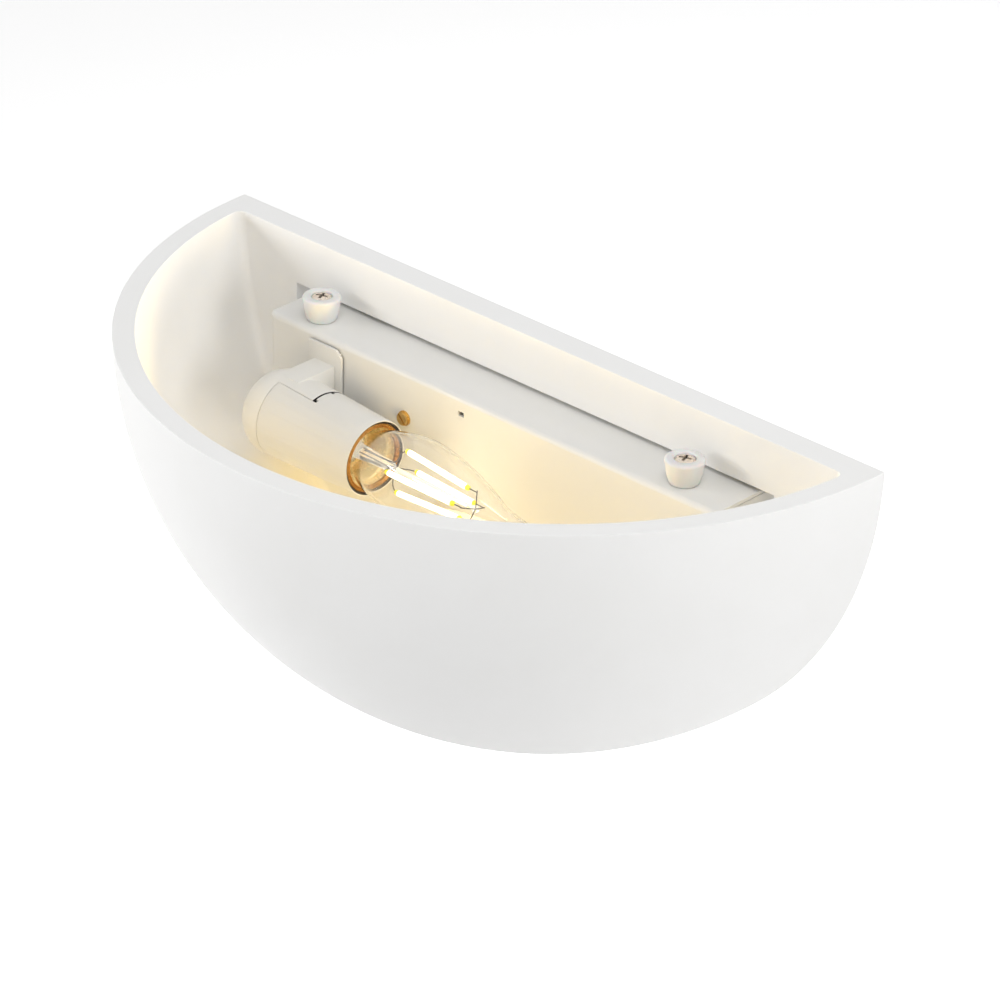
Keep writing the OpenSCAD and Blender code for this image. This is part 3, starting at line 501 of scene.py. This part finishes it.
def make_bowl():
    fillet, edge_round = 0.0034, 0.0009
    bowl = quarter_ball("bowl", BOWL_R, 0.0, 30)
    choose(bowl, "edges", lambda p, e: e.is_boundary and abs(p.y) < 1e-6)
    bpy.ops.mesh.edge_face_add()
    choose(bowl, "edges", lambda p, e: e.is_boundary)
    bpy.ops.mesh.edge_face_add()
    leave(bowl)
    outward(bowl)

    hollow = quarter_ball("hollow", HOLLOW_R, BACK_Y, 26)
    choose(hollow, "edges", lambda p, e: e.is_boundary and abs(p.z - RIM_Z) < 1e-6)
    bpy.ops.mesh.extrude_edges_move(TRANSFORM_OT_translate={"value": (0, 0, 0.01)})
    choose(hollow, "edges", lambda p, e: e.is_boundary and abs(p.y - BACK_Y) < 1e-6)
    bpy.ops.mesh.edge_face_add()
    choose(hollow, "edges", lambda p, e: e.is_boundary)
    bpy.ops.mesh.edge_face_add()
    choose(hollow, "edges", lambda p, e: abs(p.y - BACK_Y) < 1e-6 and p.z < RIM_Z + 0.0099
           and e.calc_face_angle(0) > radians(30))
    bpy.ops.mesh.bevel(offset=fillet, segments=5, affect="EDGES", clamp_overlap=False)
    leave(hollow)
    outward(hollow)
    cut_away(bowl, hollow)

    opening = block("opening", (-CUT_HALF_W, BACK_Y - 0.01, CUT_LOW), (CUT_HALF_W, 0.01, CHANNEL_TOP))
    cut_away(bowl, opening)
    rise_h, rise_depth, over = 0.0017, 0.007, 0.001
    low, deep = CHANNEL_TOP - over, BACK_Y + rise_depth
    high = CHANNEL_TOP + rise_h * (rise_depth + over) / rise_depth
    rise = block("rise", (-CUT_HALF_W, BACK_Y - over, low), (CUT_HALF_W, deep, high))
    take(rise)
    bpy.ops.object.mode_set(mode="EDIT")
    choose(rise, "verts", lambda p, v: p.y > deep - 1e-5 and p.z > low + 1e-4)
    bpy.ops.transform.translate(value=(0, 0, CHANNEL_TOP - high))
    leave(rise)
    cut_away(bowl, rise)
    outward(bowl)
    apply(bowl, "BEVEL", width=edge_round, segments=3, limit_method="ANGLE", angle_limit=radians(32),
          use_clamp_overlap=True)
    take(bowl)
    bpy.ops.object.shade_smooth_by_angle(angle=radians(40))
    apply(bowl, "WEIGHTED_NORMAL", keep_sharp=True)
    dress(bowl, "root", FINISHES["plaster"], "plaster", "plaster_bowl")


# ---------- clamp bushes and screws ----------

def make_bush(side):
    foot, top, height = 0.0052, 0.0070, 0.0093
    bore, sink, sink_r = 0.0018, 0.0026, 0.00385
    outline = [
        (0.0, bore), (0.0, foot - 0.0008), (0.0002, foot - 0.00025), (0.0007, foot + 0.00012),
        (0.0020, foot + 0.00058), (0.0032, foot + 0.00092), (0.0055, foot + 0.00124),
        (height - 0.0011, top - 0.00006), (height - 0.0006, top - 0.00012), (height - 0.0002, top - 0.0004),
        (height, top - 0.0009), (height, sink_r + 0.00015), (height - 0.00015, sink_r), (height - sink, sink_r),
        (height - sink, bore), (0.0, bore),
    ]
    piece = turned(f"{side}_clamp_bush", outline, 56, 50)
    stand_up(piece, (BUSH_X[side], BUSH_Y, CHANNEL_TOP))
    dress(piece, f"{side}_bush", FINISHES["nylon"], "nylon", f"{side}_bush")


def make_screw(side):
    head_r, shank, long, pitch, head_h = 0.0035, 0.00175, 0.016, 0.0006, 0.0026
    recess_l, recess_w, recess_d = 0.0047, 0.0011, 0.0016
    head = turned(f"{side}_clamp_screw", [
        (-0.0012, 0.0), (-0.0012, shank - 0.0002), (0.00003, shank - 0.0002), (0.00003, head_r - 0.0001),
        (0.0001, head_r), (0.0019, head_r), (0.00205, head_r - 0.00012), (0.0023, head_r - 0.0007),
        (0.0025, head_r - 0.0016), (0.0026, head_r - 0.0026), (0.0026, 0.0)], 56, 35)
    stand_up(head, (0, 0, 0))
    for turn in (20, 110):
        arm = start("recess", "cube", size=1, location=(0, 0, head_h))
        bpy.ops.transform.resize(value=(recess_l, recess_w, 2 * recess_d))
        choose(arm, "verts", lambda p, v: p.z < head_h)
        bpy.ops.transform.resize(value=(0.85, 0.9, 1), center_override=(0, 0, head_h))
        bpy.ops.object.mode_set(mode="OBJECT")
        arm.rotation_euler.z = radians(turn)
        leave(arm)
        cut_away(head, arm)
    thread = start("thread", "plane", size=0.001, location=(0, 0, 0))
    bpy.ops.mesh.merge(type="CENTER")
    bpy.ops.transform.translate(value=(shank - 0.00035, 0, -0.0002))
    for step in ((0.00035, -0.42 * pitch), (0.0, -0.16 * pitch), (-0.00035, -0.42 * pitch)):
        bpy.ops.mesh.extrude_region_move(TRANSFORM_OT_translate={"value": (step[0], 0, step[1])})
    bpy.ops.object.mode_set(mode="OBJECT")
    turns = int((long - 0.0012) / pitch)
    apply(thread, "SCREW", angle=2 * pi, screw_offset=-pitch, iterations=turns, steps=24, render_steps=24,
          use_merge_vertices=True, merge_threshold=1e-6)
    bpy.ops.object.mode_set(mode="EDIT")
    bpy.ops.mesh.select_all(action="SELECT")
    bpy.ops.mesh.remove_doubles(threshold=2e-6)
    bpy.ops.mesh.select_mode(type="EDGE")
    bpy.ops.mesh.select_all(action="DESELECT")
    bpy.ops.mesh.select_non_manifold()
    bpy.ops.mesh.fill()
    leave(thread, 35)
    outward(thread)
    piece = join(head, thread)
    dress(piece, f"{side}_screw", FINISHES["screw_steel"], "screw_steel", f"{side}_screw")
    # Painted shade: the walls of the cross recess get the near-black finish.
    paint(piece, PAINTED_SHADE, lambda p, n: 0.0009 < p.z < head_h - 0.0005 and p.xy.length < 0.0026)
    piece.matrix_world = Matrix.Translation((BUSH_X[side], BUSH_Y, SEAT_Z)) @ piece.matrix_world
    take(piece)
    bpy.ops.object.transform_apply(location=True, rotation=True, scale=True)


# ---------- lamp ----------

def bezier(a, b, c, d, t):
    return tuple(
        (1 - t) ** 3 * p + 3 * (1 - t) ** 2 * t * q + 3 * (1 - t) * t * t * r + t ** 3 * s
        for p, q, r, s in zip(a, b, c, d))


def glass_outline(inset):
    """The candle shape as (distance from the mouth, radius), drawn in by an inset."""
    shoulder = (GLASS_OUT - 0.020, 0.39 * GLASS_R)
    spans = [
        ((-CAP_OUT, NECK_R), (-0.007, 0.5 * GLASS_R), (0.005, 0.93 * GLASS_R), (0.020, GLASS_R), 14),
        ((0.020, GLASS_R), (0.033, GLASS_R), (shoulder[0] - 0.011, 0.67 * GLASS_R), shoulder, 16),
        (shoulder, (shoulder[0] + 0.005, 0.67 * shoulder[1]),
         (GLASS_OUT, 0.28 * GLASS_R), (GLASS_OUT, 0.0), 14),
    ]
    points = [(-CAP_OUT - 0.002, NECK_R)]
    for a, b, c, d, n in spans:
        points += [bezier(a, b, c, d, k / n) for k in range(n)]
    points.append((GLASS_OUT, 0.0))
    drawn = [(x, max(r - inset, 0.0)) for x, r in points[:-1]]
    drawn = [(min(x, GLASS_OUT - inset), r) for x, r in drawn if r > 0]
    return drawn + [(GLASS_OUT - inset, 0.0)]


def make_glass():
    wall = 0.0008
    outside, inside = glass_outline(0.0), glass_outline(wall)
    piece = turned("candle_glass", outside + inside[::-1] + [outside[0]], 96, 60)
    into_lamp(piece)
    dress(piece, "lamp", FINISHES["lamp_clear"], "lamp_clear", "lamp_glass")


def make_stem():
    flare = NECK_R - 0.0009
    piece = turned("glass_stem", [
        (-CAP_OUT - 0.002, 0.0), (-CAP_OUT - 0.002, flare), (-CAP_OUT - 0.0002, flare),
        (-CAP_OUT + 0.001, 0.0042), (-CAP_OUT + 0.003, 0.0031), (-CAP_OUT + 0.006, 0.0027), (0.002, 0.0026),
        (0.0055, 0.0026), (0.0075, 0.0023), (0.0086, 0.0017), (PRESS_END, 0.0009), (ROD_END - 0.0016, 0.0008),
        (ROD_END - 0.0012, 0.0010), (ROD_END - 0.0006, 0.0013), (ROD_END, 0.0014), (ROD_END + 0.0006, 0.0013),
        (ROD_END + 0.0012, 0.0007), (ROD_END + 0.0014, 0.0)], 48, 60)
    take(piece)
    bpy.ops.object.mode_set(mode="EDIT")
    choose(piece, "verts", lambda p, v: 0.001 < p.x < 0.0088)
    bpy.ops.transform.resize(value=(1, 1.12, 0.55), center_override=(0, 0, 0))
    leave(piece, 60)
    into_lamp(piece)
    dress(piece, "lamp", STEM_GLASS_WITH_PAINTED_GLOW, "lamp_clear", "lamp_stem")


def filament_ring(x):
    """Radius of the ring of filaments, which stand closer together towards their tips."""
    along = (x - FILAMENT_FROM) / (FILAMENT_TO - FILAMENT_FROM)
    return FILAMENT_RING[0] + min(max(along, 0.0), 1.0) * (FILAMENT_RING[1] - FILAMENT_RING[0])


def ring_point(x, i, r=None):
    a = radians(FILAMENT_TURN + 90 * i)
    r = filament_ring(x) if r is None else r
    return Vector((x, r * cos(a), r * sin(a)))


def make_filaments():
    rods, r = [], 0.00095
    for i in range(4):
        rod = turned(f"rod{i}", [
            (FILAMENT_FROM, 0.0), (FILAMENT_FROM, 0.0005), (FILAMENT_FROM + 0.0003, 0.0008),
            (FILAMENT_FROM + 0.0009, r), (FILAMENT_TO - 0.0009, r), (FILAMENT_TO - 0.0003, 0.0008),
            (FILAMENT_TO, 0.0005), (FILAMENT_TO, 0.0)], 24, 60)
        low, high = ring_point(FILAMENT_FROM, i), ring_point(FILAMENT_TO, i)
        lean = Vector((1, 0, 0)).rotation_difference(high - low).to_matrix().to_4x4()
        take(rod)
        rod.matrix_world = Matrix.Translation(low) @ lean @ Matrix.Translation((-FILAMENT_FROM, 0, 0))
        bpy.ops.object.transform_apply(location=True, rotation=True, scale=True)
        rods.append(rod)
    piece = join(*rods)
    piece.name = piece.data.name = "filament_rods"
    piece.visible_shadow = False
    into_lamp(piece)
    dress(piece, "lamp", FINISHES["filament"], "filament", "lamp_filaments")


def wire_along(name, points, radius, sides=2):
    """A round wire or lead along a smooth line through the points."""
    pick_nothing()
    line = bpy.data.curves.new(name, "CURVE")
    line.dimensions = "3D"
    run = line.splines.new("NURBS")
    run.points.add(len(points) - 1)
    for place, point in zip(run.points, points):
        place.co = tuple(point) + (1,)
    run.use_endpoint_u = True
    run.order_u = 3
    run.resolution_u = 6
    line.bevel_depth = radius
    line.bevel_resolution = sides
    line.use_fill_caps = True
    piece = bpy.data.objects.new(name, line)
    bpy.context.scene.collection.objects.link(piece)
    take(piece)
    bpy.ops.object.convert(target="MESH")
    piece = bpy.context.object
    outward(piece)
    take(piece)
    bpy.ops.object.shade_smooth_by_angle(angle=radians(50))
    return piece


def make_spider():
    """The cross of wires in front of the filaments, its pins, and the feed wires from the stem."""
    wires = []
    pin, reach, wire_r = 0.0034, 0.0062, 0.0002
    for i in range(4):
        top = FILAMENT_TO + pin
        wires.append(wire_along(f"pin{i}", [
            ring_point(FILAMENT_TO - 0.0006, i), ring_point(FILAMENT_TO + 0.001, i),
            ring_point(top, i)], wire_r))
        wires.append(wire_along(f"arm{i}", [
            ring_point(top, i, reach), ring_point((top + ROD_END) / 2, i, reach / 2),
            ring_point(ROD_END, i, 0.0)], wire_r))
        wires.append(wire_along(f"feed{i}", [
            ring_point(-0.006, i, 0.0012), ring_point(PRESS_END - 0.002, i, 0.0014),
            ring_point(PRESS_END + 0.0010, i, 0.0022), ring_point(FILAMENT_FROM - 0.0016, i, 0.0070),
            ring_point(FILAMENT_FROM + 0.0006, i)], wire_r))
    piece = join(*wires)
    piece.name = piece.data.name = "filament_wires"
    piece.visible_shadow = False
    into_lamp(piece)
    dress(piece, "lamp", FINISHES["support_wire"], "support_wire", "lamp_spider")


# ---------- lampholder ----------

def make_shell():
    """The screw shell: thread rings, a throat, and a skirt that flares in fine ridges to the mouth's edge."""
    skirt, throat, crest, thick, pitch = 0.0123, 0.0104, 0.0073, 0.00035, 0.00282
    step, floor_at, rear = -0.0042, -0.0144, -0.03255
    outline = [
        (-0.0001, 0.0134), (-0.0002, 0.0136), (-0.0010, skirt), (step - thick, skirt), (step - thick, throat),
        (floor_at, throat), (floor_at, crest + 0.0006), (rear, crest + 0.0006), (rear, crest)]
    at = rear + 0.0006
    while at + pitch < floor_at - 0.0004:
        outline += [(at, crest), (at + 0.3 * pitch, crest + 0.0003), (at + 0.5 * pitch, crest + 0.00035),
                    (at + 0.7 * pitch, crest + 0.0003)]
        at += pitch
    outline += [(floor_at + thick, crest), (floor_at + thick, throat - thick), (step - 0.0012, throat - thick),
                (step - 0.0004, throat - thick + 0.0001), (step, throat - thick + 0.0004)]
    for r in (throat + 0.00035, throat + 0.00095):
        outline += [(step, r - 0.00028), (step + 0.00022, r - 0.00018), (step + 0.0003, r),
                    (step + 0.00022, r + 0.00018), (step, r + 0.00028)]
    outline += [(step + 0.0003, skirt - thick - 0.00005), (-0.0019, skirt - thick), (-0.0019, 0.01125),
                (-0.0014, 0.0110), (-0.0008, 0.0111), (-0.0006, 0.0114), (-0.0009, 0.0117), (-0.0006, 0.0121),
                (-0.0005, 0.0124), (-0.0008, 0.0127), (-0.0004, 0.0131), outline[0]]
    piece = turned("screw_shell", outline, 72, 40)
    into_lamp(piece)
    dress(piece, "root", COPPER, "brass", "thread_shell")
    # Painted light: deeper than 1.9 mm inside the mouth, the shell gets the paler copy of its metal, where the
    # lamp's light falls.
    paint(piece, PAINTED_LAMPLIGHT_GOLD, lambda p, n: from_mouth(p).x < -0.0019)
    # Painted shade: the shell's outer lip at the mouth gets the near-black finish, as a dark line where shade
    # falls.
    paint(piece, PAINTED_SHADE, lambda p, n: from_mouth(p).x > -0.0018 and from_mouth(p).yz.length > 0.0128)


def make_holder():
    cap = softened("holder_rear_shell", "holder_cap")
    groove_x, groove_z, groove_deep = (-0.0850, -0.0670), (-0.0080, 0.0214), 0.0005
    core_x, core_z, over = (-0.0829, -0.0691), (-0.0055, 0.0193), 0.001
    groove = block("groove", (groove_x[0], FRONT_Y - groove_deep, groove_z[0]),
                   (groove_x[1], FRONT_Y + 0.0001, groove_z[1]))
    core = block("core", (core_x[0], FRONT_Y - over, core_z[0]), (core_x[1], FRONT_Y + over, core_z[1]))
    cut_away(groove, core)
    cut_away(cap, groove)
    dress(cap, "root", FINISHES["holder_white"], "holder_white", "holder_cap")

    def in_the_slot(p, n):
        """True for the walls of the narrow slot at the tongue's end."""
        return abs(from_mouth(p).x - TONGUE_SLOT) < 0.0010 and abs(from_mouth(n + MOUTH).x) > 0.7

    # Painted shade: the near-black finish on the gap behind the foot plate's edge, and on the walls of the slot
    # at the tongue's end.
    paint(cap, PAINTED_SHADE, lambda p, n: FRONT_Y - 0.00052 < p.y < FRONT_Y - 0.0001 or in_the_slot(p, n))
    sleeve = softened("holder_front_shell", "holder_sleeve")
    flare = turned("flare", [
        (0.001, 0.0), (0.001, 0.0140), (0.0, 0.0137), (-0.0011, 0.0124), (-0.0011, 0.0)], 96, 30)
    into_lamp(flare)
    cut_away(sleeve, flare)
    notch_x, notch_w = (-0.0268, -0.0248), 0.0014
    for y in (-0.0050, 0.0030):
        notch = block("notch", (notch_x[0], y, 0.009), (notch_x[1], y + notch_w, 0.018))
        into_lamp(notch)
        cut_away(sleeve, notch)
    dress(sleeve, "root", FINISHES["holder_white"], "holder_white", "holder_sleeve")
    # Painted shade on the walls of the slot at the tongue's end.
    paint(sleeve, PAINTED_SHADE, in_the_slot)


# ---------- leads ----------

LEADS = {
    "live": ("lead_brown", [
        (-82.7, -57.3, -1.8), (-84.6, -57.2, -1.8), (-86.4, -55.8, -0.4), (-86, -52.6, 3.6), (-82.2, -49.2, 8),
        (-78.2, -45.4, 9.8), (-77.8, -38, 9.9), (-77.8, -31, 9.9), (-77.3, -25, 10.1), (-75, -19.5, 10.6),
        (-68, -16.5, 11), (-50, -15.5, 11.6), (-28, -15, 12), (-8, -15.2, 12), (2, -17, 10.8),
        (5.8, -20.4, 7.4), (6.5, -21.8, 3.6), (6.5, -21.8, -2)]),
    "neutral": ("lead_blue", [
        (-82, -38.4, -1.8), (-83.8, -38.4, -1.8), (-85.9, -39.2, -0.6), (-86, -41.2, 2), (-82.8, -42.8, 5.2),
        (-78.3, -41, 6.5), (-77.8, -36.2, 6.6), (-75.6, -31, 6.7), (-74.8, -25, 6.8), (-71.5, -20.6, 7),
        (-65, -18.6, 7.2), (-50, -18, 8), (-30, -18, 9), (-12, -18, 9), (-4.5, -19.4, 7.8), (-1.5, -21.8, 4.4),
        (-1.5, -21.8, -2)]),
    "earth": ("lead_earth", [
        (-28, -28.3, 5.4), (-24.5, -28.3, 5.4), (-20, -27, 6.2), (-14, -24, 6.6), (-10.4, -22.3, 5),
        (-9.5, -21.8, 2), (-9.5, -21.8, -2)]),
}


def smooth_route(route, steps):
    """Points of the same smooth curve as the part's leads follow, in metres."""
    given = [Vector(p) / 1000 for p in route]
    made = []
    for i in range(len(given) - 1):
        a, b = given[max(i - 1, 0)], given[i]
        c, d = given[i + 1], given[min(i + 2, len(given) - 1)]
        for k in range(steps):
            t = k / steps
            made.append(0.5 * (2 * b + (c - a) * t + (2 * a - 5 * b + 4 * c - d) * t * t
                               + (3 * b - a - 3 * c + d) * t ** 3))
    return made + [given[-1]]


def make_leads():
    lead_r = 0.00088
    for name, (slot, route) in LEADS.items():
        piece = wire_along(f"{name}_wire", smooth_route(route, 4), lead_r, 3)
        dress(piece, "root", FINISHES[slot], slot, f"{name}_lead")
        if name == "earth":
            piece.data.materials.append(YELLOW)
            every, striped = 16, 5
            for face in piece.data.polygons:
                if face.index % every < striped:
                    face.material_index = 1


# ---------- camera, floor and light ----------

def set_camera():
    """The photograph's own viewpoint."""
    back = Vector((0.59944421, -0.64200746, 0.47800948)).normalized()
    level = Vector((0.7310, 0.6824, 0)).normalized()
    rise = back.cross(level)
    roll = 0.0180
    right = cos(roll) * level + sin(roll) * rise
    up = -sin(roll) * level + cos(roll) * rise
    turn = Matrix((right, up, back)).transposed()
    pick_nothing()
    bpy.ops.object.camera_add(location=(0.99909, -1.09259, 0.78102), rotation=turn.to_euler())
    camera = bpy.context.object
    camera.data.lens = 173.33
    camera.data.sensor_width = 36
    camera.data.clip_start, camera.data.clip_end = 0.05, 50
    bpy.context.scene.camera = camera


def seen_directly(tree):
    """1 where the camera, metal or glass looks, and 0 for all other light."""
    way = tree.nodes.new("ShaderNodeLightPath")
    seen = place_node(tree, "Math", {0: way.outputs["Is Camera Ray"], 1: way.outputs["Is Glossy Ray"]},
                      operation="MAXIMUM")
    seen = place_node(tree, "Math", {0: seen.outputs["Value"], 1: way.outputs["Is Transmission Ray"]},
                      operation="MAXIMUM")
    return seen.outputs["Value"]


def set_floor():
    pick_nothing()
    bpy.ops.mesh.primitive_plane_add(size=14, location=(0, 0, -0.75))
    floor = bpy.context.object
    floor.name = "floor"
    made, tree, shader, _ = new_finish("pale floor")
    tone = use(tree, MOTTLE, Colour=(0.90, 0.90, 0.90, 1), Second_colour=(0.88, 0.88, 0.88, 1), Scale=3.0,
               Share=0.5)
    tree.links.new(tone.outputs["Colour"], shader.inputs["Base Color"])
    shader.inputs["Roughness"].default_value = 0.9
    shader.inputs["Emission Color"].default_value = (1, 1, 1, 1)
    lift = place_node(tree, "Math", {0: seen_directly(tree), 1: 0.4}, operation="MULTIPLY")
    tree.links.new(lift.outputs["Value"], shader.inputs["Emission Strength"])
    floor.data.materials.append(made)


def set_world(level, overhead):
    """Even white where it is looked at; as light, one strength from the sides and another from overhead."""
    world = bpy.data.worlds.new("studio")
    bpy.context.scene.world = world
    world.use_nodes = True
    tree = world.node_tree
    tree.nodes.clear()
    out = tree.nodes.new("ShaderNodeOutputWorld")
    where = place_node(tree, "TexCoord")
    way = place_node(tree, "SeparateXYZ", {0: where.outputs["Generated"]})
    light = place_node(tree, "MapRange", {"Value": way.outputs["Z"], "To Min": level, "To Max": overhead})
    strength = place_node(tree, "MapRange", {
        "Value": seen_directly(tree), "To Min": light.outputs["Result"], "To Max": 1.0})
    air = place_node(tree, "Background", {"Color": (1, 1, 1, 1), "Strength": strength.outputs["Result"]})
    tree.links.new(air.outputs["Background"], out.inputs["Surface"])


def soft_light(name, compass, height, power):
    """A round softbox. Compass 0 is in front and 90 to the right, and both angles are in degrees."""
    away, width, aim = 2.2, 1.2, Vector((0, -0.05, 0))
    a, h = radians(compass), radians(height)
    at = away * Vector((sin(a) * cos(h), -cos(a) * cos(h), sin(h)))
    pick_nothing()
    bpy.ops.object.light_add(type="AREA", location=at)
    light = bpy.context.object
    light.name = name
    light.rotation_euler = (at - aim).to_track_quat("Z", "Y").to_euler()
    light.data.shape = "DISK"
    light.data.size = width
    light.data.energy = power
    light.visible_camera = False


def lamp_light():
    """The lamp's own warm light, which doesn't weaken with distance, to even out the bowl."""
    along = 0.039
    pick_nothing()
    at = MOUTH + Matrix.Rotation(LAMP_YAW, 4, "Z") @ Vector((along, 0, 0))
    bpy.ops.object.light_add(type="POINT", location=at)
    light = bpy.context.object
    light.name = "lamp_glow"
    light.data.energy = 0.1
    light.data.shadow_soft_size = 0.006
    light.visible_camera = light.visible_glossy = light.visible_transmission = False
    light.data.use_nodes = True
    tree = light.data.node_tree
    tree.nodes.clear()
    out = tree.nodes.new("ShaderNodeOutputLight")
    fall = place_node(tree, "LightFalloff", {"Strength": 172.0})
    glow = place_node(tree, "Emission", {"Color": (1.0, 0.69, 0.18, 1), "Strength": fall.outputs["Constant"]})
    tree.links.new(glow.outputs["Emission"], out.inputs["Surface"])


def set_lights():
    set_world(0.225, 0.335)
    soft_light("right_softbox", 90, 12, 21.4)
    soft_light("left_softbox", 315, 12, 29.2)
    soft_light("high_softbox", 45, 60, 15.4)
    soft_light("high_rear_softbox", 135, 60, 5.8)
    soft_light("rear_softbox", 180, 12, 24.0)
    lamp_light()


set_camera()
set_floor()
set_lights()
dress_nodes()
make_bowl()
for side in ("left", "right"):
    make_bush(side)
    make_screw(side)
make_glass()
make_stem()
make_filaments()
make_spider()
make_shell()
make_holder()
make_leads()
pick_nothing()
bpy.context.scene.view_settings.view_transform = "Standard"
